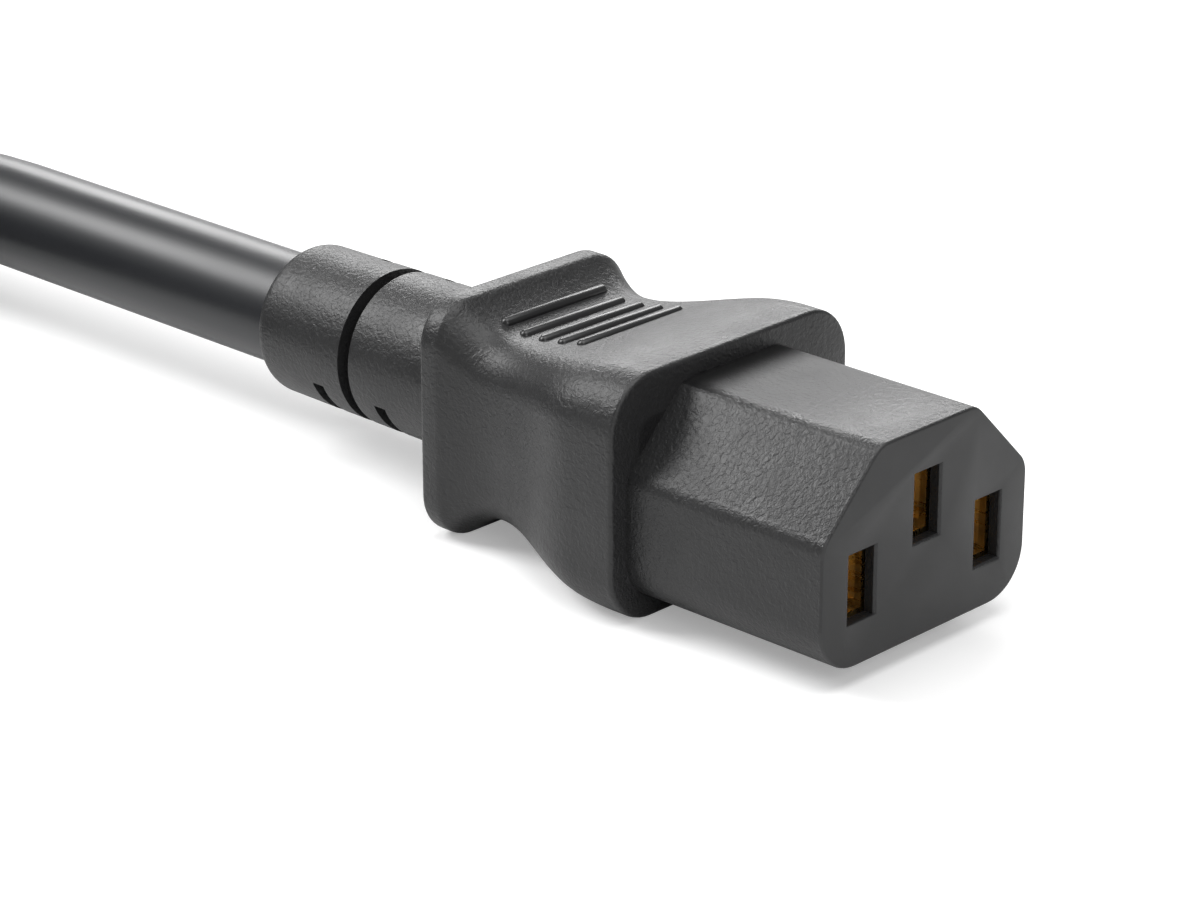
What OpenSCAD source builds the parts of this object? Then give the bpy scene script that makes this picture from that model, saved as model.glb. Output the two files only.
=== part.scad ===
// A three-pole appliance connector moulded on its own cord, with the wall plug at the cord's far end.
// +X points out of the nose, +Z is up, and z = 0 is the surface that the connector lies on.
// The origin is under the middle of the connector, without its cord.

/* [Nose] */
// How far the nose stands out in front of the collar
nose_l = 18.6; // [16:0.1:22]
// Width of the nose
nose_w = 22.7; // [22:0.1:24]
// Height of the nose
nose_h = 16.1; // [15.4:0.1:17]
// Leg of the 45 degree bevel along each upper edge of the nose
nose_bevel = 6; // [5:0.1:6.5]
// Rounding where a bevel meets the top and the sides
nose_bevel_r = 2; // [0.5:0.1:3]
// Rounding of the nose's two lower edges
nose_lower_r = 3.8; // [2:0.1:4.5]
// How deep the full section of the nose is seated in the collar
seat_l = 1.4; // [1:0.1:1.8]

/* [Poles] */
// Distance between the line and neutral poles
pole_pitch = 14; // [13.5:0.1:14.5]
// Height of the earth pole above the other two
earth_rise = 4.04; // [3.6:0.02:4.4]
// Width of each slot in the face
slot_w = 2.86; // [2.5:0.02:3.2]
// Height of the line and neutral slots
slot_h = 5.3; // [4.8:0.1:5.8]
// Height of the earth slot
earth_slot_h = 5.4; // [4.8:0.1:5.8]
// Thickness of the face between the slots and the chambers behind it
face_t = 1; // [0.8:0.1:1.5]

/* [Contact block] */
// How far the block's root reaches into the grip, from the collar's front
root_l = 11; // [10.6:0.1:12]
// Width of the root
root_w = 20; // [19.8:0.1:20.4]
// Height of the root
root_h = 12.4; // [12:0.1:12.8]
// Rounding along the root's edges
root_r = 1.5; // [0.5:0.1:2.5]

/* [Grip] */
// Length from the collar's front to the back of the rear wing
grip_l = 22.6; // [21:0.1:26]
// Height of the collar and of the wing
grip_h = 19.2; // [18.8:0.1:21]
// Width of the collar
collar_w = 25.9; // [25.5:0.1:28]
// Width of the rear wing
wing_w = 20.6; // [20:0.1:23]
// Thickness of the flat rim round the wing
wing_t = 1.85; // [1.2:0.05:2.5]
// Height at the waist
waist_h = 14.7; // [14.3:0.1:15.5]
// Width at the waist
waist_w = 19.1; // [18.8:0.1:20]
// Distance of the waist behind the collar's front
waist_back = 16.1; // [15.5:0.1:16.8]
// Length at the front over which the collar keeps its full height
collar_t = 1.4; // [0.5:0.1:3]
// Length at the front over which the collar keeps its full width
collar_side_t = 4.2; // [2:0.1:5]
// Corner rounding at the collar
collar_r = 4.3; // [3.6:0.1:5]
// Corner rounding at the waist
waist_r = 3.3; // [2.6:0.1:4]
// Corner rounding at the wing
wing_r = 3.6; // [3:0.1:4.5]

/* [Finger ribs] */
// Number of ribs on the top, and again on the underside
rib_count = 5; // [3:1:5]
// Distance from one rib to the next
rib_pitch = 2; // [1.6:0.1:2.2]
// Distance of the rearmost rib from the back of the wing
rib_back = 4.3; // [4:0.1:5]
// Length of a rib over its round ends
rib_l = 11.2; // [8:0.1:12]
// Width of a rib
rib_w = 1; // [0.8:0.1:1.2]
// How far a rib stands proud
rib_proud = 0.36; // [0.25:0.01:0.45]

/* [Strain relief] */
// Length behind the wing
relief_l = 23.6; // [22:0.1:28]
// Diameter at the wing
relief_d = 12.9; // [12.6:0.1:14]
// Diameter at the rear end
relief_end_d = 12.4; // [12:0.1:13]
// Rounding of the rear edge
relief_r = 1.2; // [0.6:0.1:1.4]
// Width of the flex slots
flex_w = 1.25; // [0.8:0.05:1.6]
// Distance from one flex slot to the next
flex_pitch = 3.6; // [3:0.1:4]
// Distance of the first flex slot behind the wing
flex_first = 9.3; // [8:0.1:11]
// Wall left between a flex slot and the cord
flex_floor = 0.4; // [0.3:0.05:0.8]
// How far past the top and the bottom each flex slot runs, in degrees
flex_past = 22; // [10:1:30]

/* [Contacts] */
// Thickness of the contact strip
strip_t = 0.4; // [0.3:0.05:0.45]
// Room between a contact and its chamber
contact_gap = 0.2; // [0.1:0.05:0.3]
// Height of the cage that takes the pin
cage_h = 6; // [5.8:0.1:6.2]
// Length of the cage
cage_l = 13.5; // [12:0.1:14]
// Gap between the two springs in the cage
spring_gap = 1.6; // [1.2:0.1:1.8]
// Length of the neck between the cage and the crimps
neck_l = 3; // [2.5:0.1:4]
// Length of the crimp on the wire
wire_crimp_l = 5; // [4:0.1:5.5]
// Length of the crimp on the insulation
core_crimp_l = 3; // [2.5:0.1:3.5]
// Space between the two crimps
crimp_space = 1.4; // [1:0.1:1.8]
// Distance of the cage's mouth behind the face wall
cage_back = 0.5; // [0.3:0.1:1]
// Length at each end of the cage that the springs leave free
spring_back = 0.6; // [0.4:0.1:1]
// Gap in the seam of the cage and of the crimps
seam_gap = 0.3; // [0.1:0.05:0.5]
// How far the bare wire stands out of its crimp
wire_out = 0.3; // [0.1:0.1:0.8]

/* [Cord] */
// Diameter of the cord
cord_d = 9.4; // [9.2:0.1:9.6]
// Diameter of each insulated core
core_d = 3.2; // [3:0.1:3.3]
// Diameter of the stranded wire in a core
wire_d = 1.9; // [1.6:0.1:2.1]
// Distance of the jacket's end behind the wing
jacket_in = 4.8; // [4:0.1:6]
// Clearance between moulded plastic and what it encloses
mould_gap = 0.05; // [0.03:0.01:0.1]

/* [Coil] */
// Radius of the outermost turn
coil_outer_turn = 57.5; // [57:0.5:60]
// Distance from one turn to the next
turn_pitch = 9.6; // [9.5:0.05:9.7]
// Looseness round the bundle of turns
bundle_ease = 0.2; // [0.1:0.05:0.4]
// Thickness of the tie's strap
tie_t = 0.5; // [0.4:0.1:0.9]
// Width of the tie's strap
tie_w = 9; // [6:0.5:12]

/* [Plug] */
// Width of the plug at its face
plug_w = 26.6; // [26:0.1:29]
// Height of the plug at its face
plug_h = 25.6; // [25:0.1:28]
// Rounding of the plug's edges
plug_r = 6; // [4:0.1:7]
// Length of the plug's full section behind its face
plug_full_l = 14; // [12:0.5:18]
// Length over which it narrows to the neck
plug_taper_l = 14; // [12:0.5:18]
// Width of the neck
plug_neck_w = 18; // [17:0.5:20]
// Height of the neck
plug_neck_h = 16.4; // [16:0.2:19]
// Length of the swelling behind the neck
plug_heel_l = 10; // [8:0.5:14]
// Width of the swelling
plug_heel_w = 20.4; // [20:0.2:22]
// Height of the swelling
plug_heel_h = 18.8; // [18:0.2:20]
// Length over which the swelling's rear edge rounds off
plug_heel_edge = 3; // [1:0.5:4]
// Distance between the plug's two blades
blade_pitch = 12.7; // [12.5:0.1:12.9]
// Thickness of a blade
blade_t = 1.5; // [1.4:0.05:1.6]
// Width of a blade
blade_w = 6.35; // [6.1:0.05:6.6]
// Length of a blade outside the plug
blade_l = 16; // [15:0.1:18]
// Hole near the blade's tip
blade_hole_d = 3.2; // [2.8:0.1:3.6]
// Diameter of the earth pin
earth_d = 4.75; // [4.6:0.05:4.9]
// Diameter of the earth pin's root in the bridge
earth_root_d = 3.8; // [3.4:0.1:4.2]
// Length of the earth pin outside the plug
earth_l = 19.3; // [18:0.1:21]
// Distance from the earth pin to the line through the blades
earth_offset = 11.9; // [11.7:0.1:12.1]
// How far the blades lie under the plug's axis
blade_drop = 4.4; // [4.2:0.1:4.8]
// Width of the hard bridge that carries the blades
bridge_w = 18.6; // [18:0.1:20]
// Height of the bridge
bridge_h = 21.4; // [21:0.1:22]
// Thickness of the bridge
bridge_t = 5; // [4:0.1:7]
// Rounding of the bridge's edges
bridge_r = 2; // [1:0.1:3]
// Bevel of the blades' tips
blade_tip = 1.2; // [0.8:0.1:1.6]
// Distance of a blade's hole from its tip
blade_hole_back = 4.3; // [4:0.1:5]
// Length of the plug's strain relief
plug_relief_l = 24; // [20:0.5:28]
// How far the jacket reaches into the plug's swelling
plug_jacket_in = 5; // [3:0.5:8]

/* [Hidden] */

$fn = 64;
corner_steps = 10;
over = 1;                                   // how far a cutter runs past what it cuts

black_vinyl = [0.07, 0.07, 0.075];
black_block = [0.12, 0.12, 0.125];
spring_brass = [0.80, 0.66, 0.36];
copper = [0.72, 0.42, 0.26];
nickel = [0.75, 0.73, 0.68];
core_black = [0.09, 0.09, 0.09];
core_white = [0.88, 0.88, 0.85];
core_green = [0.10, 0.42, 0.20];

// Stations along X, from the front of the nose to the end of the strain relief
front_x = (nose_l + grip_l + relief_l) / 2;
collar_x = front_x - nose_l;
wing_x = collar_x - grip_l;
relief_x = wing_x - relief_l;
jacket_x = wing_x - jacket_in;
rim_x = wing_x + wing_t;
waist_x = collar_x - waist_back;
axis_z = grip_h / 2;

// [y, z] of each pole
line_at = [pole_pitch / 2, axis_z - earth_rise / 2];
neutral_at = [-pole_pitch / 2, axis_z - earth_rise / 2];
earth_at = [0, axis_z + earth_rise / 2];

// Cores in the jacket lie in a triangle, each touching the other two but for the moulding gap
bundle_r = (core_d + 2 * mould_gap) / sqrt(3);
line_in_cord = [bundle_r * cos(30), axis_z - bundle_r * sin(30)];
neutral_in_cord = [-bundle_r * cos(30), axis_z - bundle_r * sin(30)];
earth_in_cord = [0, axis_z + bundle_r];

// Contacts, from the mouth of the cage back to the insulation crimp
cage_x = front_x - face_t - cage_back;
cage_w = core_d + 2 * (mould_gap + strip_t);
chamber_w = cage_w + 2 * contact_gap;
chamber_h = cage_h + 2 * contact_gap;
wire_crimp_x = cage_x - cage_l - neck_l;
core_crimp_x = wire_crimp_x - wire_crimp_l - crimp_space;
wire_x = wire_crimp_x - wire_out;
insulation_x = core_crimp_x + crimp_space / 2;
bend_x = collar_x - root_l - mould_gap;
core_steps = 10;
core_sides = 10;

// The coil: three turns side by side, and two and a half on top of them, lying on the tie
coil_x = -119.5;
coil_y = -coil_outer_turn;
coil_base = tie_t + mould_gap;
low_layer_z = coil_base + cord_d / 2 + bundle_ease / 2;
high_layer_z = low_layer_z + cord_d;
coil_in_r = coil_outer_turn - 2 * turn_pitch - cord_d / 2 - bundle_ease;
coil_out_r = coil_outer_turn + cord_d / 2 + bundle_ease;
coil_top = high_layer_z + cord_d / 2 + bundle_ease;
coil_landing = 12;                          // how far before the coil's middle the straight cord ends in it
tie_angle = 225;

// The plug lies on its side of the coil, and its axis is along X
plug_face_x = -7;
plug_y = -110;
plug_z = plug_h / 2;
plug_heel_x = plug_face_x - plug_full_l - plug_taper_l - plug_heel_l;
plug_relief_x = plug_heel_x - plug_relief_l;
plug_jacket_x = plug_heel_x - plug_jacket_in;
blade_z = plug_z - blade_drop;
earth_pin_at = [plug_y, blade_z + earth_offset];

// The cord's route where it isn't coiled: out of the connector, and from the coil to the plug
cord_sides = 12;
lead_route = [[jacket_x, 0, axis_z], [-32, 0, axis_z], [-52, 0, axis_z], [-70, 0, axis_z], [-74, 0, 9.5],
    [-79, 0, 9.2], [-84, 0, 8.5], [-89, 0, 7.6], [-94, 0, 6.7], [-99, 0, 5.9], [-103, 0, 5.5],
    [-105.5, 0, low_layer_z], [coil_x + coil_landing, 0, low_layer_z]];
tail_start_y = -2 * coil_outer_turn;
tail_route = [[coil_x, tail_start_y, high_layer_z], [-112, tail_start_y, high_layer_z],
    [-105, tail_start_y, 14.7], [-100, -114.8, 14.4], [-95, -114.2, 13.9], [-90, -113.2, 13.5],
    [-85, -112, 13.1], [-80, -110.9, 12.9],
    [-75, -110.2, plug_z], [-71, plug_y, plug_z], [plug_jacket_x, plug_y, plug_z]];

// ---------------------------------------------------------------- shared shapes

function ease(t) = let(u = min(1, max(0, t))) u * u * (3 - 2 * u);
function unit(v) = v / norm(v);
function flatten(lists) = [for (one = lists) each one];

// An X-wise extrusion of a [y, z] outline from x0 to x1
module along_x(x0, x1) translate([x0, 0, 0]) rotate([90, 0, 90]) linear_extrude(x1 - x0) children();

// A cylinder along X from x0 to x1, centred at [y, z]
module rod(x0, x1, r, at) translate([x0, at[0], at[1]]) rotate([0, 90, 0]) cylinder(h = x1 - x0, r = r);

// A convex outline with a true arc of radius rs[i] at each corner
module rounded_outline(corners, rs) {
    n = len(corners);
    function before(i) = unit(corners[(i + n - 1) % n] - corners[i]);
    function after(i) = unit(corners[(i + 1) % n] - corners[i]);
    function half(i) = acos(before(i) * after(i)) / 2;
    polygon(flatten([for (i = [0:n - 1])
        [for (side = [before(i), after(i)]) corners[i] + side * rs[i] / tan(half(i))]]));
    for (i = [0:n - 1])
        translate(corners[i] + unit(before(i) + after(i)) * rs[i] / sin(half(i))) circle(r = rs[i]);
}

// A rectangle w by h round [0, 0] with its corners rounded by r
module rounded_plate(w, h, r)
    rounded_outline([[w, -h] / 2, [w, h] / 2, [-w, h] / 2, [-w, -h] / 2], [r, r, r, r]);

// The points of a rounded rectangle across X, half_w by half_h from [y, z], with corners of radius r
function section(x, half_w, half_h, r, at) = [for (q = [0:3]) for (i = [0:corner_steps])
    let (angle = 90 * (q + i / corner_steps), side_y = q == 0 || q == 3 ? 1 : -1, side_z = q < 2 ? 1 : -1)
    [x, at[0] + side_y * (half_w - r) + r * cos(angle), at[1] + side_z * (half_h - r) + r * sin(angle)]];

// Faces of the wall through rings of n points, which start at point number first
function wall(rings, n, first = 0) = [for (k = [0:rings - 2]) for (i = [0:n - 1])
    let (a = first + k * n + i, b = first + k * n + (i + 1) % n) each [[a, a + n, b + n], [a, b + n, b]]];
function backwards(faces) = [for (f = faces) [for (i = [len(f) - 1:-1:0]) f[i]]];

// A closed solid through rings of points, which run from the low end to the high end
module skin(rings) {
    n = len(rings[0]);
    last = len(rings) - 1;
    low_cap = [for (i = [0:n - 1]) i];
    high_cap = [for (i = [n - 1:-1:0]) last * n + i];
    polyhedron(points = flatten(rings), faces = concat(wall(last + 1, n), [low_cap, high_cap]));
}

// Rings of a round section carried along a path
function heading(path, i) = unit(path[min(i + 1, len(path) - 1)] - path[max(i - 1, 0)]);
function round_rings(path, r, sides) = [for (i = [0:len(path) - 1])
    let (ahead = heading(path, i), side = unit(cross([0, 0, 1], ahead)), up = cross(ahead, side))
    [for (s = [0:sides - 1]) path[i] + r * (cos(360 * s / sides) * side + sin(360 * s / sides) * up)]];

module sweep(path, r, sides) skin(round_rings(path, r, sides));

// A tube along a path, open at both ends
module pipe(path, r_out, r_in, sides) {
    rings = len(path);
    inner = rings * sides;
    function end_ring(k, flip) = [for (i = [0:sides - 1])
        let (a = k * sides + i, b = k * sides + (i + 1) % sides)
        each flip ? [[b, b + inner, a + inner], [b, a + inner, a]]
            : [[a, a + inner, b + inner], [a, b + inner, b]]];
    polyhedron(
        points = concat(flatten(round_rings(path, r_out, sides)), flatten(round_rings(path, r_in, sides))),
        faces = concat(wall(rings, sides), backwards(wall(rings, sides, inner)),
            end_ring(0, true), end_ring(rings - 1, false)));
}

// ---------------------------------------------------------------- connector

// The nose's section, grown by g on every side
module nose_outline(g = 0) {
    w = nose_w / 2 + g;
    h = nose_h / 2 + g;
    b = nose_bevel + g * (2 - sqrt(2));
    low = nose_lower_r + g;
    high = nose_bevel_r + g;
    translate([0, axis_z])
        rounded_outline([[w, -h], [w, h - b], [w - b, h], [b - w, h], [-w, h - b], [-w, -h]],
            [low, high, high, high, high, low]);
}

module root_outline(g = 0) translate([0, axis_z]) rounded_plate(root_w + 2 * g, root_h + 2 * g, root_r + g);

// Half height, half width and corner rounding of the grip at x
function toward_wing(x) = pow(min(1, max(0, (waist_x - x) / (waist_x - rim_x))), 2);
function grip_half_h(x) = (waist_h + (grip_h - waist_h)
    * (x < waist_x ? toward_wing(x) : ease((x - waist_x) / (waist_back - collar_t)))) / 2;
function grip_half_w(x) = (waist_w + (x < waist_x ? (wing_w - waist_w) * toward_wing(x)
    : (collar_w - waist_w) * ease((x - waist_x) / (waist_back - collar_side_t)))) / 2;
function grip_r(x) = waist_r + (x < waist_x ? (wing_r - waist_r) * toward_wing(x)
    : (collar_r - waist_r) * ease((x - waist_x) / waist_back));

grip_steps = 22;
grip_stations = concat([wing_x], [for (i = [0:grip_steps]) rim_x + (collar_x - rim_x) * i / grip_steps]);

module grip_form()
    skin([for (x = grip_stations) section(x, grip_half_w(x), grip_half_h(x), grip_r(x), [0, axis_z])]);

// A finger rib is a round bar sunk in the surface; side is 1 on the top and -1 on the underside
module finger_ribs(side) {
    reach = rib_l / 2 - rib_w / 2;
    for (k = [0:rib_count - 1]) {
        x = wing_x + rib_back + k * rib_pitch;
        translate([x, 0, axis_z + side * (grip_half_h(x) + rib_proud - rib_w / 2)]) {
            rotate([90, 0, 0]) cylinder(h = 2 * reach, d = rib_w, center = true, $fn = 24);
            for (end = [-1, 1]) translate([0, end * reach, 0]) sphere(d = rib_w, $fn = 24);
        }
    }
}

// The sleeve round the cord behind x: a slight taper with a round rear edge
module sleeve(x, length, at)
    translate([x, at[0], at[1]]) rotate([0, -90, 0]) rotate_extrude() {
        polygon([[0, -over], [relief_d / 2, -over], [relief_d / 2, 0], [relief_end_d / 2, length - relief_r],
            [relief_end_d / 2 - relief_r, length], [0, length]]);
        translate([relief_end_d / 2 - relief_r, length - relief_r]) circle(r = relief_r);
    }

// Flex slots cut from alternate sides of a sleeve, each with round ends
module flex_slots(x, count, at) {
    floor_r = cord_d / 2 + flex_floor;
    span = 180 + 2 * flex_past;
    for (k = [0:count - 1]) {
        side = k % 2 == 0 ? -1 : 1;
        translate([x - k * flex_pitch, at[0], at[1]]) rotate([0, 90, 0]) {
            rotate([0, 0, side * 90 - span / 2]) rotate_extrude(angle = span)
                translate([floor_r, -flex_w / 2]) square([relief_d - floor_r, flex_w]);
            for (end = [-1, 1])
                rotate([0, 90, side * 90 + end * span / 2]) translate([0, 0, floor_r])
                    cylinder(h = relief_d - floor_r, d = flex_w, $fn = 24);
        }
    }
}

module grip_overmould() color(black_vinyl) difference() {
    union() {
        grip_form();
        finger_ribs(1);
        finger_ribs(-1);
        sleeve(wing_x, relief_l, [0, axis_z]);
    }
    along_x(collar_x - seat_l - mould_gap, collar_x + over) nose_outline(mould_gap);
    along_x(collar_x - root_l - mould_gap, collar_x) root_outline(mould_gap);
    for (core = cores) sweep(core_path(core, bend_x + over), core_d / 2 + mould_gap, core_sides);
    rod(relief_x - over, jacket_x, cord_d / 2 + mould_gap, [0, axis_z]);
    flex_slots(wing_x - flex_first, 3, [0, axis_z]);
}

module pole_slot(at, h) {
    along_x(front_x - face_t - over, front_x + over)
        translate([at[0] - slot_w / 2, at[1] - h / 2]) square([slot_w, h]);
    along_x(collar_x - root_l - over, front_x - face_t)
        translate([at[0] - chamber_w / 2, at[1] - chamber_h / 2]) square([chamber_w, chamber_h]);
}

module contact_block() color(black_block) difference() {
    union() {
        along_x(collar_x - seat_l, front_x) nose_outline();
        along_x(collar_x - root_l, collar_x) root_outline();
    }
    pole_slot(line_at, slot_h);
    pole_slot(neutral_at, slot_h);
    pole_slot(earth_at, earth_slot_h);
}

// A contact folded from one strip: a cage with two springs, a neck, and crimps on the wire and its insulation
module socket_contact(at) color(spring_brass) {
    wire_r = wire_d / 2 + mould_gap;
    core_r = core_d / 2 + mould_gap;
    bow = (cage_w - 2 * strip_t - spring_gap) / 2;
    spring_l = cage_l - 2 * spring_back;
    spring_r = (spring_l * spring_l / 4 + bow * bow) / (2 * bow);
    translate([0, at[0], at[1]]) {
        difference() {
            translate([cage_x - cage_l, -cage_w / 2, -cage_h / 2]) cube([cage_l, cage_w, cage_h]);
            translate([cage_x - cage_l - over, strip_t - cage_w / 2, strip_t - cage_h / 2])
                cube([cage_l + 2 * over, cage_w - 2 * strip_t, cage_h - 2 * strip_t]);
            translate([cage_x - cage_l - over, -seam_gap / 2, 0]) cube([cage_l + 2 * over, seam_gap, cage_h]);
        }
        for (side = [-1, 1]) intersection() {
            translate([cage_x - cage_l / 2, side * (spring_gap / 2 + spring_r), 0]) difference() {
                cylinder(h = cage_h - 4 * strip_t, r = spring_r, center = true);
                cylinder(h = cage_h, r = spring_r - strip_t, center = true);
            }
            translate([cage_x - cage_l + spring_back, side > 0 ? 0 : (strip_t - cage_w) / 2, -cage_h / 2])
                cube([spring_l, (cage_w - strip_t) / 2, cage_h]);
        }
        translate([0, 0, -cage_h / 2]) linear_extrude(strip_t)
            polygon([[cage_x - cage_l + over, -cage_w / 2], [cage_x - cage_l + over, cage_w / 2],
                [wire_crimp_x, wire_r + strip_t], [core_crimp_x - core_crimp_l, wire_r + strip_t],
                [core_crimp_x - core_crimp_l, -wire_r - strip_t], [wire_crimp_x, -wire_r - strip_t]]);
        crimp(wire_crimp_x, wire_crimp_l, wire_r);
        crimp(core_crimp_x, core_crimp_l, core_r);
    }
}

// A strip rolled round a wire of radius r, standing on the strip's floor, with its seam on top
module crimp(x, length, r) difference() {
    union() {
        rod(x - length, x, r + strip_t, [0, 0]);
        translate([x - length, -r, -cage_h / 2]) cube([length, 2 * r, cage_h / 2]);
    }
    rod(x - length - over, x + over, r, [0, 0]);
    translate([x - length - over, -seam_gap / 2, 0]) cube([length + 2 * over, seam_gap, r + 2 * strip_t]);
}

// Each core: [its pole, its place in the jacket]
line_core = [line_at, line_in_cord];
neutral_core = [neutral_at, neutral_in_cord];
earth_core = [earth_at, earth_in_cord];
cores = [line_core, neutral_core, earth_core];

// A core runs straight out of its crimp and bends in to its place in the jacket
function core_path(core, x) = concat([[x, core[0][0], core[0][1]]],
    [for (i = [0:core_steps]) let (t = i / core_steps, at = core[0] + (core[1] - core[0]) * ease(t))
        [bend_x + (jacket_x + over - bend_x) * t, at[0], at[1]]],
    [[jacket_x, core[1][0], core[1][1]]]);

module insulation(core, tint)
    color(tint) pipe(core_path(core, insulation_x), core_d / 2, wire_d / 2 + mould_gap, core_sides);
module wire(core) color(copper) sweep(core_path(core, wire_x), wire_d / 2, core_sides);

// ---------------------------------------------------------------- cord and coil

module cord_lead() color(black_vinyl) sweep(lead_route, cord_d / 2, cord_sides);
module cord_tail() color(black_vinyl) sweep(tail_route, cord_d / 2, cord_sides);

// The outer shape of some turns: a rounded band from r0 to r1, from z0 to z1, through part of a circle
module turns(r0, r1, z0, z1, start = 0, sweep = 360)
    translate([coil_x, coil_y, 0]) rotate([0, 0, start]) rotate_extrude(angle = sweep)
        translate([(r0 + r1) / 2, (z0 + z1) / 2])
            rounded_plate(r1 - r0, z1 - z0, cord_d / 2 - bundle_ease);

// The coil as a closed shape, with a flat landing where the straight cord comes in
module cord_coil() color(black_vinyl) difference() {
    union() {
        turns(coil_in_r, coil_out_r, coil_base, high_layer_z - cord_d / 2 - bundle_ease);
        turns(coil_in_r, coil_out_r - turn_pitch, coil_base, coil_top);
        turns(coil_out_r - cord_d - 2 * bundle_ease, coil_out_r, low_layer_z, coil_top, 90, 180);
    }
    translate([coil_x + coil_landing, -cord_d / 2 - bundle_ease, -over])
        cube([coil_out_r, coil_out_r, grip_h]);
}

// A strap round the bundle, lying on the surface; being straight, it reaches further in than the bundle
module coil_tie() color(black_block) {
    inner = sqrt(coil_in_r * coil_in_r - tie_w * tie_w / 4) - mould_gap;
    w = coil_out_r + mould_gap - inner;
    h = coil_top - coil_base + 2 * mould_gap;
    translate([coil_x, coil_y, 0]) rotate([0, 0, tie_angle])
        translate([inner + w / 2, tie_w / 2, tie_t + h / 2]) rotate([90, 0, 0])
        linear_extrude(tie_w) difference() {
            rounded_plate(w + 2 * tie_t, h + 2 * tie_t, cord_d / 2 - bundle_ease + tie_t);
            rounded_plate(w, h, cord_d / 2 - bundle_ease);
        }
}

// ---------------------------------------------------------------- plug

// [distance behind the face, half width, half height, rounding] where the plug's form changes
neck_back = plug_full_l + plug_taper_l;
plug_forms = [[0, plug_w / 2, plug_h / 2, plug_r], [plug_full_l, plug_w / 2, plug_h / 2, plug_r],
    [neck_back, plug_neck_w / 2, plug_neck_h / 2, plug_r],
    [neck_back + plug_heel_l - plug_heel_edge, plug_heel_w / 2, plug_heel_h / 2, plug_r],
    [neck_back + plug_heel_l, (plug_heel_w - plug_heel_edge) / 2, (plug_heel_h - plug_heel_edge) / 2,
        plug_r]];
plug_steps = [1, 8, 5, 2];

module plug_form() skin(concat(
    [for (k = [len(plug_steps) - 1:-1:0]) for (i = [plug_steps[k]:-1:1])
        let (t = i / plug_steps[k], form = plug_forms[k] + (plug_forms[k + 1] - plug_forms[k]) * ease(t),
            back = plug_forms[k][0] + (plug_forms[k + 1][0] - plug_forms[k][0]) * t)
        section(plug_face_x - back, form[1], form[2], form[3], [plug_y, plug_z])],
    [section(plug_face_x, plug_w / 2, plug_h / 2, plug_r, [plug_y, plug_z])]));

module bridge_outline(g = 0)
    translate([plug_y, plug_z]) rounded_plate(bridge_w + 2 * g, bridge_h + 2 * g, bridge_r + g);

module plug_body() color(black_vinyl) difference() {
    union() {
        plug_form();
        sleeve(plug_heel_x, plug_relief_l, [plug_y, plug_z]);
    }
    rod(plug_relief_x - over, plug_jacket_x, cord_d / 2 + mould_gap, [plug_y, plug_z]);
    along_x(plug_face_x - bridge_t - mould_gap, plug_face_x + over)
        bridge_outline(mould_gap);
    flex_slots(plug_heel_x - flex_first, 3, [plug_y, plug_z]);
}

module plug_bridge() color(black_block) difference() {
    along_x(plug_face_x - bridge_t, plug_face_x) bridge_outline();
    for (side = [-1, 1])
        translate([plug_face_x - bridge_t - over, plug_y + side * blade_pitch / 2 - blade_t / 2 - mould_gap,
            blade_z - blade_w / 2 - mould_gap])
            cube([bridge_t + 2 * over, blade_t + 2 * mould_gap, blade_w + 2 * mould_gap]);
    rod(plug_face_x - bridge_t - over, plug_face_x + over, earth_root_d / 2 + mould_gap, earth_pin_at);
}

// A flat blade with bevelled tip corners and a round hole
module blade(side) color(nickel)
    translate([plug_face_x, plug_y + side * blade_pitch / 2 + blade_t / 2, blade_z]) rotate([90, 0, 0])
        linear_extrude(blade_t) difference() {
            polygon([[-bridge_t, -blade_w / 2], [blade_l - blade_tip, -blade_w / 2],
                [blade_l, blade_tip - blade_w / 2], [blade_l, blade_w / 2 - blade_tip],
                [blade_l - blade_tip, blade_w / 2], [-bridge_t, blade_w / 2]]);
            translate([blade_l - blade_hole_back, 0]) circle(d = blade_hole_d);
        }

// The earth pin is round, with a domed tip and a thinner root
module plug_earth_pin() color(nickel) {
    dome_x = plug_face_x + earth_l - earth_d / 2;
    rod(plug_face_x - bridge_t, plug_face_x, earth_root_d / 2, earth_pin_at);
    rod(plug_face_x, dome_x, earth_d / 2, earth_pin_at);
    translate([dome_x, earth_pin_at[0], earth_pin_at[1]]) sphere(d = earth_d);
}

grip_overmould();
contact_block();
socket_contact(line_at);  // line_contact
socket_contact(neutral_at);  // neutral_contact
socket_contact(earth_at);  // earth_contact
insulation(line_core, core_black);  // line_insulation
insulation(neutral_core, core_white);  // neutral_insulation
insulation(earth_core, core_green);  // earth_insulation
wire(line_core);  // line_wire
wire(neutral_core);  // neutral_wire
wire(earth_core);  // earth_wire
cord_lead();
cord_coil();
coil_tie();
cord_tail();
plug_body();
plug_bridge();
blade(1);  // plug_line_blade
blade(-1);  // plug_neutral_blade
plug_earth_pin();
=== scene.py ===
# %% [markdown]
# # A moulded appliance connector on its mains cord
# The real part is made in two shots: a hard block with three poles, and a soft grip moulded over its root and
# over the end of the cord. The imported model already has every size, so it is loaded first and measured, and
# each piece below is modelled where the frame says that it lies.

# %% Load the frame and measure it
import math

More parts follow.
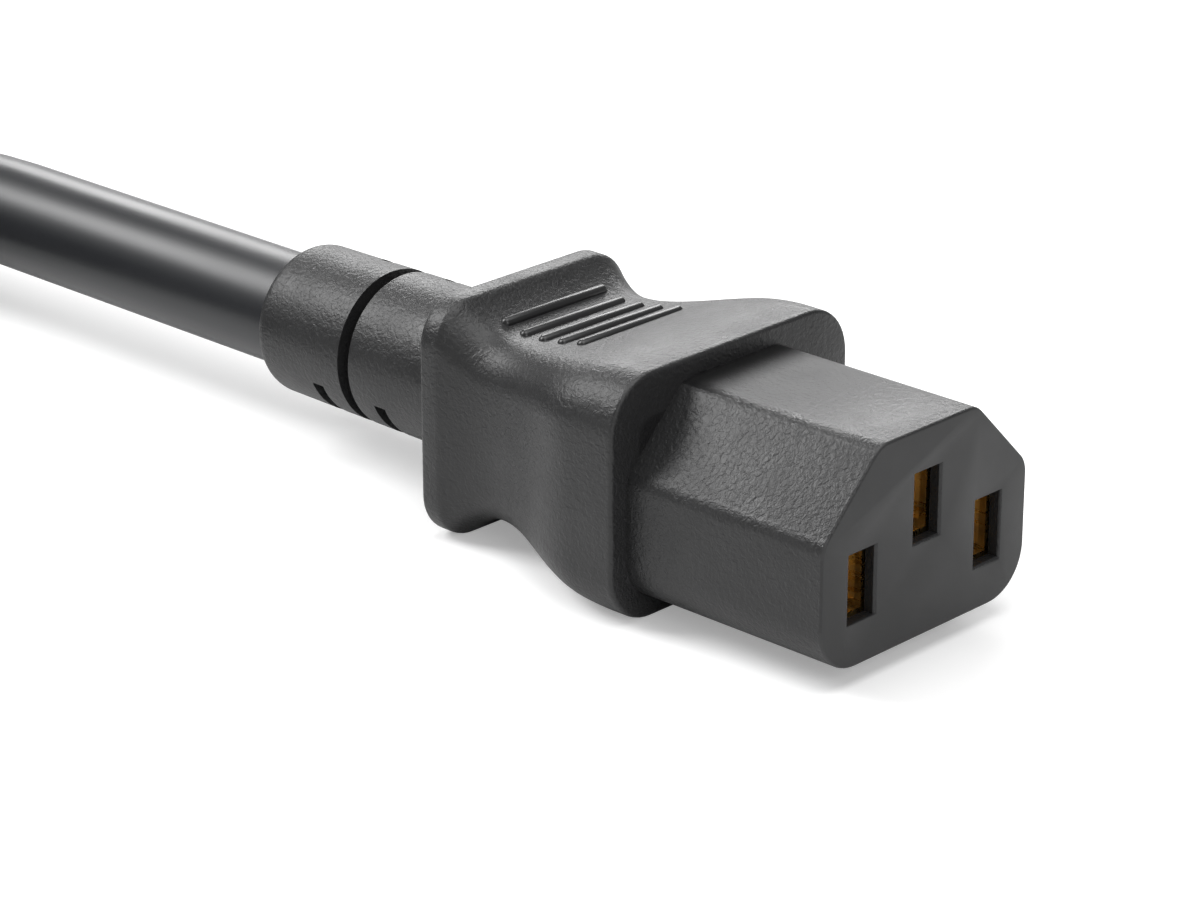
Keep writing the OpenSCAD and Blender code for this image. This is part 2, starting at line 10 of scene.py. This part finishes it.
import bmesh
import bpy
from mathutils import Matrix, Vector


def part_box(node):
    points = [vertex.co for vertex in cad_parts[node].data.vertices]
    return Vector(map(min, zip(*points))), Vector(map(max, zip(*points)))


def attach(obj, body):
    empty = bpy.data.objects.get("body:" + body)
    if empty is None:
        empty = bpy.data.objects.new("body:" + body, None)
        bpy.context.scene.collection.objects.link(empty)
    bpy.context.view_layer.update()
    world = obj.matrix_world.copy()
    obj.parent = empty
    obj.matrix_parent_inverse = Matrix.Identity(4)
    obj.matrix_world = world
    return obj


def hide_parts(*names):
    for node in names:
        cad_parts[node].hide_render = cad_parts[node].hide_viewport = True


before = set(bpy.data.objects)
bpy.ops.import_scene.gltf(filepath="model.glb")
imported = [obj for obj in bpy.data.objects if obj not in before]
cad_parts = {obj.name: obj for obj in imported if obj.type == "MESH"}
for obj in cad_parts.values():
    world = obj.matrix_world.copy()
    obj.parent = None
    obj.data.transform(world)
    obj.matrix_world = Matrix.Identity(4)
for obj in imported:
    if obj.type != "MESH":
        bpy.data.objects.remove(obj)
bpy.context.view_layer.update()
MM = 0.001

grip_low, grip_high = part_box("grip_overmould")
_, block_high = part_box("contact_block")
front_x = block_high.x
collar_x = grip_high.x
relief_x = grip_low.x
collar_w = 2 * grip_high.y
grip_h = grip_high.z
axis_z = grip_h / 2
print("connector from", round(relief_x / MM, 2), "to", round(front_x / MM, 2), "mm")

# %% [markdown]
# ## The camera
# The lens is long and close to the nose's corner, so all three faces of the grip show. The camera stands at a
# corner of the nose and looks down a little, with its horizon level.

# %% Set the camera
camera_at = Vector((191.9, -200.2, 118.1)) * MM
heading = math.radians(43.74)
downward = math.radians(21.87)
lens = bpy.data.cameras.new("view")
lens.sensor_width = 36
lens.lens = 117.2
lens.clip_start = 0.01
lens.clip_end = 20
camera = bpy.data.objects.new("view", lens)
camera.location = camera_at
camera.rotation_euler = (math.pi / 2 - downward, 0, heading)
bpy.context.scene.collection.objects.link(camera)
bpy.context.scene.camera = camera

# %% [markdown]
# ## The cord
# A mains cord is one round jacket of a fixed length. It leaves the grip straight, sinks to the table, goes
# round in a neat coil of four and a half turns, and comes out on top of it to the plug. A curve with a round
# bevel is the right tool, because its own line is the cord's centreline and its length can be measured.

# %% Lay the route
cord_d = 9.4 * MM
jacket_x = -13.6
low_layer_z = 5.35
high_layer_z = 14.75
coil_x = -119.5
turn_r = 57.5
turn_pitch = 9.6
coil_turns = 4.5
coil_landing = 12
plug_y = -110
plug_z = 12.8
plug_jacket_x = -50

lead_route = [[jacket_x, 0, 9.6], [-32, 0, 9.6], [-52, 0, 9.6], [-70, 0, 9.6], [-74, 0, 9.5],
              [-79, 0, 9.2], [-84, 0, 8.5], [-89, 0, 7.6], [-94, 0, 6.7], [-99, 0, 5.9], [-103, 0, 5.5],
              [-105.5, 0, low_layer_z], [coil_x + coil_landing, 0, low_layer_z]]
tail_route = [[-112, -115, high_layer_z], [-105, -115, 14.7], [-100, -114.8, 14.4], [-95, -114.2, 13.9],
              [-90, -113.2, 13.5], [-85, -112, 13.1], [-80, -110.9, 12.9], [-75, -110.2, plug_z],
              [-71, plug_y, plug_z], [plug_jacket_x, plug_y, plug_z]]


def ease(t):
    """A smooth step from 0 to 1."""
    t = min(1, max(0, t))
    return t * t * (3 - 2 * t)


def turn_point(along):
    """A point on the coil, along degrees after the cord came in at its far side."""
    change = 120
    inward = ease((along - 240) / change) + ease((along - 600) / change)
    outward = ease((along - 1080) / change) + ease((along - 1440) / change)
    r = turn_r - turn_pitch * (inward - outward)
    z = low_layer_z + (high_layer_z - low_layer_z) * ease((along - 840) / change)
    angle = math.radians(90 + along)
    return [coil_x + r * math.cos(angle), -turn_r + r * math.sin(angle), z]


points_a_turn = 72
turn_count = int(coil_turns * points_a_turn)
coil_route = [turn_point(360 * i / points_a_turn) for i in range(turn_count + 1)]
route = [Vector(p) * MM for p in lead_route + coil_route + tail_route]

# %% Make the cord from its route
cord_line = bpy.data.curves.new("cord", "CURVE")
cord_line.dimensions = "3D"
cord_line.bevel_depth = cord_d / 2
cord_line.bevel_resolution = 10
cord_line.use_fill_caps = True
spline = cord_line.splines.new("POLY")
spline.points.add(len(route) - 1)
for knot, place in zip(spline.points, route):
    knot.co = (*place, 1)
spline.use_smooth = True
cord = bpy.data.objects.new("cord", cord_line)
bpy.context.scene.collection.objects.link(cord)

# %% [markdown]
# ## Finishes
# Black plastic is hardly a colour: what shows is how it reflects. The grip is moulded in a mould with a
# leather grain, the block's sides have the same grain, and the face, the ribs and the cord's jacket are smooth.
# Each grain is a bump from noise on Object coordinates, so that it has one scale all over and doesn't stretch.


# %% Helpers for node materials
def new_material(name, color, roughness, specular=0.5, metallic=0.0):
    """A material with a Principled shader, whose even values are set on its own sockets."""
    material = bpy.data.materials.new(name)
    material.use_nodes = True
    shader = material.node_tree.nodes["Principled BSDF"]
    shader.inputs["Base Color"].default_value = (*color, 1)
    shader.inputs["Roughness"].default_value = roughness
    shader.inputs["Specular IOR Level"].default_value = specular
    shader.inputs["Metallic"].default_value = metallic
    return material, material.node_tree, shader


def add_node(tree, kind, **settings):
    """A node of a kind, with its settings, and values for its named inputs."""
    node = tree.nodes.new(kind)
    for key, value in settings.items():
        if key in node.inputs:
            node.inputs[key].default_value = value
        else:
            setattr(node, key, value)
    return node


def noise(tree, scale, detail=2.0, roughness=0.5, distortion=0.0, stretch=(1, 1, 1)):
    """Noise on Object coordinates: scale is cells in a metre."""
    place = add_node(tree, "ShaderNodeTexCoord")
    mapping = add_node(tree, "ShaderNodeMapping", Scale=stretch)
    pattern = add_node(tree, "ShaderNodeTexNoise", Scale=scale, Detail=detail, Roughness=roughness,
                       Distortion=distortion)
    tree.links.new(place.outputs["Object"], mapping.inputs["Vector"])
    tree.links.new(mapping.outputs["Vector"], pattern.inputs["Vector"])
    return pattern


def ramp(tree, source, low, high, position=(0.3, 0.7)):
    """Maps a pattern to a range of grey values."""
    steps = add_node(tree, "ShaderNodeMapRange")
    steps.inputs["From Min"].default_value = position[0]
    steps.inputs["From Max"].default_value = position[1]
    steps.inputs["To Min"].default_value = low
    steps.inputs["To Max"].default_value = high
    tree.links.new(source, steps.inputs["Value"])
    return steps.outputs["Result"]


def bump(tree, shader, height, distance, strength=1.0, under=None):
    """A bump from a height, on top of another bump."""
    relief = add_node(tree, "ShaderNodeBump", Strength=strength, Distance=distance)
    tree.links.new(height, relief.inputs["Height"])
    if under is not None:
        tree.links.new(under, relief.inputs["Normal"])
    tree.links.new(relief.outputs["Normal"], shader.inputs["Normal"])
    return relief.outputs["Normal"]


# %% Black plastics
def leather_grain(name, color, roughness, depth):
    """Moulded leather grain: rounded pebbles with finer wrinkles between them."""
    material, tree, shader = new_material(name, color, roughness)
    pebbles = noise(tree, 2600, detail=2.5, roughness=0.55, distortion=0.6)
    patches = noise(tree, 260, detail=1)
    under = bump(tree, shader, pebbles.outputs["Fac"], depth)
    fine = noise(tree, 9000, detail=1)
    bump(tree, shader, fine.outputs["Fac"], depth / 8, under=under)
    tree.links.new(ramp(tree, patches.outputs["Fac"], roughness - 0.03, roughness + 0.04),
                   shader.inputs["Roughness"])
    return material


def smooth_black(name, color, roughness, depth=2e-6, scale=1500, stretch=(1, 1, 1)):
    """Smooth moulded black plastic, with the faint unevenness that keeps a highlight from being perfect."""
    material, tree, shader = new_material(name, color, roughness)
    haze = noise(tree, 300, detail=2, stretch=stretch)
    waves = noise(tree, scale, detail=2, stretch=stretch)
    bump(tree, shader, waves.outputs["Fac"], depth)
    tree.links.new(ramp(tree, haze.outputs["Fac"], roughness - 0.03, roughness + 0.03),
                   shader.inputs["Roughness"])
    return material


grip_grain = leather_grain("grip_grain", (0.013, 0.013, 0.0135), 0.42, 75e-6)
block_grain = leather_grain("block_grain", (0.013, 0.013, 0.0135), 0.42, 80e-6)
block_face = smooth_black("block_face", (0.024, 0.024, 0.0245), 0.5)
rib_smooth = smooth_black("rib_smooth", (0.013, 0.013, 0.0135), 0.3)
jacket = smooth_black("jacket", (0.016, 0.0168, 0.019), 0.36, depth=1e-6, scale=900, stretch=(0.15, 1, 1))
plug_grain = leather_grain("plug_grain", (0.013, 0.013, 0.0135), 0.42, 75e-6)

# %% Metals and the cores' colours


def metal(name, color, roughness, stretch):
    """Rolled or drawn metal: bright, with fine lines along the strip or rod."""
    material, tree, shader = new_material(name, color, roughness, metallic=1.0)
    lines = noise(tree, 3000, detail=3, stretch=stretch)
    bump(tree, shader, lines.outputs["Fac"], 4e-6)
    tree.links.new(ramp(tree, lines.outputs["Fac"], roughness - 0.06, roughness + 0.1),
                   shader.inputs["Roughness"])
    return material


def core_plastic(name, color):
    """The thin coloured insulation of one core."""
    material, tree, shader = new_material(name, color, 0.4)
    uneven = noise(tree, 800, detail=2, stretch=(0.2, 1, 1))
    bump(tree, shader, uneven.outputs["Fac"], 6e-6)
    return material


brass = metal("spring_brass", (0.80, 0.60, 0.28), 0.28, (0.05, 1, 1))
copper = metal("copper_strands", (0.72, 0.36, 0.20), 0.35, (0.03, 1, 1))
nickel = metal("nickel_plate", (0.74, 0.71, 0.66), 0.22, (0.08, 1, 1))
core_black = core_plastic("core_black", (0.02, 0.02, 0.02))
core_white = core_plastic("core_white", (0.80, 0.80, 0.76))
core_green = core_plastic("core_green", (0.03, 0.22, 0.07))

# %% [markdown]
# ## Modelling by hand, in code
# Every operator acts on what is selected, so each piece starts from nothing selected. Then faces and edges are
# chosen by where they are, as one would click on them.


# %% Helpers for edit mode
def select_nothing():
    """Leave edit mode and deselect every object."""
    if bpy.context.object and bpy.context.object.mode != "OBJECT":
        bpy.ops.object.mode_set(mode="OBJECT")
    bpy.ops.object.select_all(action="DESELECT")


def work_on(piece):
    """Select one piece and enter edit mode."""
    select_nothing()
    piece.select_set(True)
    bpy.context.view_layer.objects.active = piece
    bpy.ops.object.mode_set(mode="EDIT")


def choose(piece, kind, test):
    """In edit mode, select just the vertices, edges or faces that pass the test."""
    bpy.ops.mesh.select_mode(type=kind)
    bpy.ops.mesh.select_all(action="DESELECT")
    shape = bmesh.from_edit_mesh(piece.data)
    items = {"VERT": shape.verts, "EDGE": shape.edges, "FACE": shape.faces}[kind]
    found = [item for item in items if test(item)]
    for item in found:
        item.select_set(True)
    bmesh.update_edit_mesh(piece.data)
    return len(found)


def near(value, target, slack=0.01 * MM):
    return abs(value - target) < slack


def settle(piece, name):
    """Name a new primitive's object and put its place into its mesh."""
    if bpy.context.object.mode != "OBJECT":
        bpy.ops.object.mode_set(mode="OBJECT")
    piece.name = name
    piece.data.name = name
    bpy.ops.object.transform_apply(location=True, rotation=True, scale=True)
    return piece


def cut(piece, tool, operation):
    """Join a tool to a piece, or cut it out of it, and delete the tool."""
    select_nothing()
    bpy.context.view_layer.objects.active = piece
    piece.select_set(True)
    change = piece.modifiers.new("cut", "BOOLEAN")
    change.operation = operation
    change.solver = "EXACT"
    change.use_self = True
    change.material_mode = "TRANSFER"
    change.object = tool
    bpy.ops.object.modifier_apply(modifier=change.name)
    bpy.data.objects.remove(tool)


def hand_over(piece, material_slot, *nodes):
    """The finished piece rides on the frame, and stands for its nodes."""
    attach(piece, "root")
    if nodes:
        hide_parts(*nodes)
    print(piece.name, len(piece.data.polygons), "faces")


# %% [markdown]
# ## The grip's body
# The grip is a rounded rectangle whose size changes along its length: a flat rim round the rear wing, a scoop
# down to the waist, and a long S out to the collar. So one rounded rectangle is drawn at the wing's back and
# extruded forward in short steps, and each new ring is set to the size that the form has there.

# %% The form's sizes
grip_l = 22.6 * MM
wing_x = collar_x - grip_l
rim_x = wing_x + 1.85 * MM
waist_x = collar_x - 16.1 * MM
waist = (19.1 * MM, 14.7 * MM, 3.3 * MM)
wing = (20.6 * MM, grip_h, 3.6 * MM)
collar = (collar_w, grip_h, 4.3 * MM)
collar_edge = 1.4 * MM
collar_side = 4.2 * MM


def grip_section(x):
    """Width, height and corner radius of the grip at x."""
    if x < waist_x:
        share = min(1, (waist_x - x) / (waist_x - rim_x)) ** 2
        return [a + (b - a) * share for a, b in zip(waist, wing)]
    run = collar_x - waist_x
    shares = [ease((x - waist_x) / (run - flat)) for flat in (collar_side, collar_edge, 0)]
    return [a + (b - a) * s for a, b, s in zip(waist, collar, shares)]


# %% Extrude the body
def rounded_rectangle(x, w, h, r, steps):
    """A face across X with true arcs at its corners."""
    select_nothing()
    bpy.ops.mesh.primitive_plane_add(size=1, location=(x, 0, axis_z), rotation=(0, math.pi / 2, 0))
    bpy.context.object.scale = (h, w, 1)
    bpy.ops.object.transform_apply(location=False, rotation=False, scale=True)
    bpy.ops.object.mode_set(mode="EDIT")
    bpy.ops.mesh.select_all(action="SELECT")
    bpy.ops.mesh.bevel(offset=r, segments=steps, affect="VERTICES")
    return bpy.context.object


def resize_ring(piece, old, new):
    """Set the selected ring from one section's size to another's, with each corner's arc kept round."""
    shape = bmesh.from_edit_mesh(piece.data)
    for vert in shape.verts:
        if not vert.select:
            continue
        across = abs(vert.co.y) - (old[0] / 2 - old[2])
        upward = abs(vert.co.z - axis_z) - (old[1] / 2 - old[2])
        turn = math.atan2(upward, across)
        side = math.copysign(1, vert.co.y)
        top = math.copysign(1, vert.co.z - axis_z)
        vert.co.y = side * (new[0] / 2 - new[2] + new[2] * math.cos(turn))
        vert.co.z = axis_z + top * (new[1] / 2 - new[2] + new[2] * math.sin(turn))
    bmesh.update_edit_mesh(piece.data)


corner_steps = 12
grip = rounded_rectangle(wing_x, *grip_section(wing_x), corner_steps)
settle(grip, "grip_overmould_look")
work_on(grip)
bpy.ops.mesh.select_all(action="SELECT")
body_steps = 44
stations = [rim_x + (collar_x - rim_x) * i / body_steps for i in range(body_steps + 1)]
here = wing_x
for x in stations:
    bpy.ops.mesh.extrude_region_move(TRANSFORM_OT_translate={"value": (x - here, 0, 0)})
    resize_ring(grip, grip_section(here), grip_section(x))
    here = x
bpy.ops.mesh.select_all(action="SELECT")
bpy.ops.mesh.normals_make_consistent(inside=False)


# %% Soften the rims
def ring_at(x):
    return lambda edge: all(near(vert.co.x, x) for vert in edge.verts)


rim_roundings = [(wing_x, 0.45 * MM, 4), (rim_x, 0.2 * MM, 2), (collar_x, 0.3 * MM, 3)]
for x, rounding, segments in rim_roundings:
    choose(grip, "EDGE", ring_at(x))
    bpy.ops.mesh.bevel(offset=rounding, segments=segments, affect="EDGES")
bpy.ops.object.mode_set(mode="OBJECT")
grip.data.materials.append(grip_grain)
print("grip body", len(grip.data.polygons), "faces")

# %% [markdown]
# ## The strain relief
# A round sleeve behind the wing bends with the cord. It narrows a little and its rear edge is rounded over.
# Three flex slots each go a little over half way round it, from alternate sides, so that it can bend.

# %% Add the sleeve
relief_r = 12.9 * MM / 2
relief_end_r = 12.4 * MM / 2
relief_rounding = 1.2 * MM
sunk = 2 * MM
select_nothing()
bpy.ops.mesh.primitive_cylinder_add(vertices=128, radius=relief_r, depth=wing_x + sunk - relief_x,
                                    location=((wing_x + sunk + relief_x) / 2, 0, axis_z),
                                    rotation=(0, math.pi / 2, 0))
sleeve = settle(bpy.context.object, "sleeve")
work_on(sleeve)
choose(sleeve, "VERT", lambda vert: near(vert.co.x, relief_x))
bpy.ops.transform.resize(value=(1, relief_end_r / relief_r, relief_end_r / relief_r),
                         center_override=(relief_x, 0, axis_z))
choose(sleeve, "EDGE", ring_at(relief_x))
bpy.ops.mesh.bevel(offset=relief_rounding, segments=8, affect="EDGES")
bpy.ops.object.mode_set(mode="OBJECT")
sleeve.data.materials.append(grip_grain)
cut(grip, sleeve, "UNION")

# %% Add the finger ribs
rib_count = 5
rib_pitch = 2 * MM
rib_back = 4.3 * MM
rib_l = 11.2 * MM
rib_r = 0.5 * MM
rib_proud = 0.36 * MM


def finger_rib(x, side):
    """A round bar with ball ends, sunk in the surface so that only its crown stands out."""
    height = grip_section(x)[1] / 2 + rib_proud - rib_r
    select_nothing()
    bpy.ops.mesh.primitive_uv_sphere_add(segments=24, ring_count=12, radius=rib_r,
                                         location=(x, 0, axis_z + side * height), rotation=(math.pi / 2, 0, 0))
    bar = settle(bpy.context.object, "rib")
    work_on(bar)
    for end in (-1, 1):
        choose(bar, "VERT", lambda vert: end * vert.co.y > 0.001 * MM)
        bpy.ops.transform.translate(value=(0, end * (rib_l / 2 - rib_r), 0))
    bpy.ops.object.mode_set(mode="OBJECT")
    bar.data.materials.append(rib_smooth)
    return bar


bars = [finger_rib(wing_x + rib_back + k * rib_pitch, side) for side in (1, -1) for k in range(rib_count)]
select_nothing()
for bar in bars:
    bar.select_set(True)
bpy.context.view_layer.objects.active = bars[0]
bpy.ops.object.join()
cut(grip, bars[0], "UNION")

# %% Cut the flex slots
flex_w = 1.25 * MM
flex_floor_r = cord_d / 2 + 0.4 * MM
flex_depth = relief_r + 0.6 * MM - flex_floor_r
flex_first = 9.3 * MM
flex_pitch = 3.6 * MM
flex_span = math.radians(224)
flex_count = 3


def flex_slot(x, start):
    """Cutters for one slot: a sector that spin sweeps back from the start angle, and round cutters."""
    out = flex_floor_r + flex_depth / 2
    place = (x, out * math.cos(start), axis_z + out * math.sin(start))
    select_nothing()
    bpy.ops.mesh.primitive_plane_add(size=1, location=place, rotation=(start, 0, 0))
    bpy.context.object.scale = (flex_w, flex_depth, 1)
    slot = settle(bpy.context.object, "slot")
    work_on(slot)
    bpy.ops.mesh.select_all(action="SELECT")
    bpy.ops.mesh.spin(steps=64, angle=flex_span, center=(x, 0, axis_z), axis=(1, 0, 0))
    bpy.ops.mesh.select_all(action="SELECT")
    bpy.ops.mesh.remove_doubles(threshold=1e-6)
    bpy.ops.mesh.normals_make_consistent(inside=False)
    bpy.ops.object.mode_set(mode="OBJECT")
    # The second round cutter falls inside the sector, so a slot is round at its start and square at its end.
    ends = []
    for turn in (start, start + flex_span):
        place = (x, out * math.cos(turn), axis_z + out * math.sin(turn))
        select_nothing()
        bpy.ops.mesh.primitive_cylinder_add(vertices=32, radius=flex_w / 2, depth=flex_depth,
                                            location=place, rotation=(turn - math.pi / 2, 0, 0))
        ends.append(settle(bpy.context.object, "slot_end"))
    for tool in [slot] + ends:
        tool.data.materials.append(grip_grain)
    return [slot] + ends


for k in range(flex_count):
    start = (math.pi if k % 2 == 0 else 0) - flex_span / 2
    for tool in flex_slot(wing_x - flex_first - k * flex_pitch, start):
        cut(grip, tool, "DIFFERENCE")

# %% Bore the sleeve for the cord
bore_clearance = 0.05 * MM
wing_to_bore = 4.8 * MM
bore_r = cord_d / 2 + bore_clearance
bore_end = wing_x - wing_to_bore
select_nothing()
bpy.ops.mesh.primitive_cylinder_add(vertices=96, radius=bore_r, depth=bore_end - relief_x + sunk,
                                    location=((bore_end + relief_x - sunk) / 2, 0, axis_z),
                                    rotation=(0, math.pi / 2, 0))
bore = settle(bpy.context.object, "bore")
bore.data.materials.append(grip_grain)
cut(grip, bore, "DIFFERENCE")

# %% Shade the grip
select_nothing()
grip.select_set(True)
bpy.context.view_layer.objects.active = grip
bpy.ops.object.shade_smooth_by_angle(angle=math.radians(32))
hand_over(grip, "grip_vinyl", "grip_overmould")


# %% [markdown]
# ## Pieces whose CAD shape is right
# The block, the plug and the metal parts have their true form in the frame. Its mesh is loose triangles, so
# a copy is merged, its flat faces are made whole again, and its sharp edges get the small rounding that a
# mould leaves.


# %% Copy and refine a node
def refined(node, name, rounding=None, steps=2, angle=30, test=None):
    """A merged copy of a node, with its sharp edges rounded where the test allows it."""
    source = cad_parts[node]
    piece = bpy.data.objects.new(name, source.data.copy())
    bpy.context.scene.collection.objects.link(piece)
    piece.data.materials.clear()
    work_on(piece)
    bpy.ops.mesh.select_all(action="SELECT")
    bpy.ops.mesh.remove_doubles(threshold=1e-6)
    bpy.ops.mesh.dissolve_limited(angle_limit=math.radians(0.4))
    if rounding:
        sharp = math.radians(angle)
        allowed = test or (lambda edge: True)
        found = choose(piece, "EDGE", lambda edge: len(edge.link_faces) == 2
                       and edge.calc_face_angle(0) > sharp and allowed(edge))
        if found:
            bpy.ops.mesh.bevel(offset=rounding, segments=steps, affect="EDGES", clamp_overlap=True)
        print(name, "rounded", found, "edges")
    bpy.ops.object.mode_set(mode="OBJECT")
    bpy.ops.object.shade_smooth_by_angle(angle=math.radians(32))
    return piece


# %% The contact block
block = refined("contact_block", "contact_block_look", 0.22 * MM, 3,
                test=lambda edge: all(vert.co.x > front_x - 0.01 * MM for vert in edge.verts))
block.data.materials.append(block_grain)
block.data.materials.append(block_face)
face_band = 1.05 * MM
rounding_area = 0.2 * MM * MM
for face in block.data.polygons:
    smooth = face.normal.x > 0.9 or face.area < rounding_area
    if face.center.x > front_x - face_band and smooth:
        face.material_index = 1
hand_over(block, "block_plastic", "contact_block")

# %% The plug
plug = refined("plug_body", "plug_body_look", 0.25 * MM, 2, angle=50)
plug.data.materials.append(plug_grain)
hand_over(plug, "grip_vinyl", "plug_body")
bridge = refined("plug_bridge", "plug_bridge_look", 0.2 * MM, 2, angle=50)
bridge.data.materials.append(block_face)
hand_over(bridge, "block_plastic", "plug_bridge")
for node in ("plug_line_blade", "plug_neutral_blade", "plug_earth_pin"):
    prong = refined(node, node + "_look", 0.12 * MM, 2, angle=50)
    prong.data.materials.append(nickel)
    hand_over(prong, "plated_blade", node)

# %% The coil's tie
strap, tree, shader = new_material("tie_strap", (0.02, 0.02, 0.022), 0.8)
loops = noise(tree, 2600, detail=2)
bump(tree, shader, loops.outputs["Fac"], 120e-6)
tie = refined("coil_tie", "coil_tie_look", 0.12 * MM, 2, angle=50)
tie.data.materials.append(strap)
hand_over(tie, "tie_strap", "coil_tie")

# %% Finish the pieces inside
inside = {"line_contact": brass, "neutral_contact": brass, "earth_contact": brass,
          "line_wire": copper, "neutral_wire": copper, "earth_wire": copper,
          "line_insulation": core_black, "neutral_insulation": core_white, "earth_insulation": core_green}
for node, material in inside.items():
    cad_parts[node].data.materials.clear()
    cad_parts[node].data.materials.append(material)

cord_line.materials.append(jacket)
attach(cord, "root")
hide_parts("cord_lead", "cord_coil", "cord_tail")

# %% [markdown]
# ## The studio
# Black plastic shows the room, so the lamps are placed for what the surfaces reflect: a wide one up on the
# left lights the bevels, a low one behind lights the tops, and the pale floor lights what faces down. One
# overhead and one in front fill in the rest.

# %% The floor
select_nothing()
bpy.ops.mesh.primitive_plane_add(size=8, location=(0, 0, -0.02 * MM))
floor = settle(bpy.context.object, "floor")
paper, tree, shader = new_material("paper", (0.80, 0.80, 0.80), 0.9, specular=0.1)
seen = add_node(tree, "ShaderNodeLightPath")
paper_glow = 0.3
glow = add_node(tree, "ShaderNodeEmission", Strength=paper_glow)
together = add_node(tree, "ShaderNodeAddShader")
mix = add_node(tree, "ShaderNodeMixShader")
output = tree.nodes["Material Output"]
tree.links.new(shader.outputs["BSDF"], together.inputs[0])
tree.links.new(glow.outputs["Emission"], together.inputs[1])
tree.links.new(seen.outputs["Is Camera Ray"], mix.inputs["Fac"])
tree.links.new(shader.outputs["BSDF"], mix.inputs[1])
tree.links.new(together.outputs["Shader"], mix.inputs[2])
tree.links.new(mix.outputs["Shader"], output.inputs["Surface"])
floor.data.materials.append(paper)

# %% The room's light
world = bpy.data.worlds.new("room")
bpy.context.scene.world = world
world.use_nodes = True
tree = world.node_tree
background = tree.nodes["Background"]
background.inputs["Color"].default_value = (1, 1, 1, 1)
seen = add_node(tree, "ShaderNodeLightPath")
room_light = 0.3
backdrop_light = 1.0
strength = ramp(tree, seen.outputs["Is Camera Ray"], room_light, backdrop_light, (0, 1))
tree.links.new(strength, background.inputs["Strength"])


def soft_box(name, toward, distance, size, power):
    """A square lamp that hangs in a direction from the connector and faces it."""
    lamp = bpy.data.lights.new(name, "AREA")
    lamp.shape = "RECTANGLE"
    lamp.size, lamp.size_y = size
    lamp.energy = power
    box = bpy.data.objects.new(name, lamp)
    away = Vector(toward).normalized()
    box.location = away * distance
    box.rotation_euler = away.to_track_quat("Z", "Y").to_euler()
    bpy.context.scene.collection.objects.link(box)
    return box


soft_box("upper_left", (-0.64, -0.37, 0.67), 0.9, (0.42, 0.42), 6)
soft_box("behind", (-0.60, 0.68, 0.42), 1.0, (0.7, 0.3), 5)
soft_box("overhead", (0.1, 0.0, 1.0), 1.1, (0.9, 0.9), 8)
soft_box("front", (0.75, -0.45, 0.5), 1.2, (0.5, 0.5), 3)

# %% The end
bpy.context.scene.view_settings.view_transform = "Standard"
select_nothing()
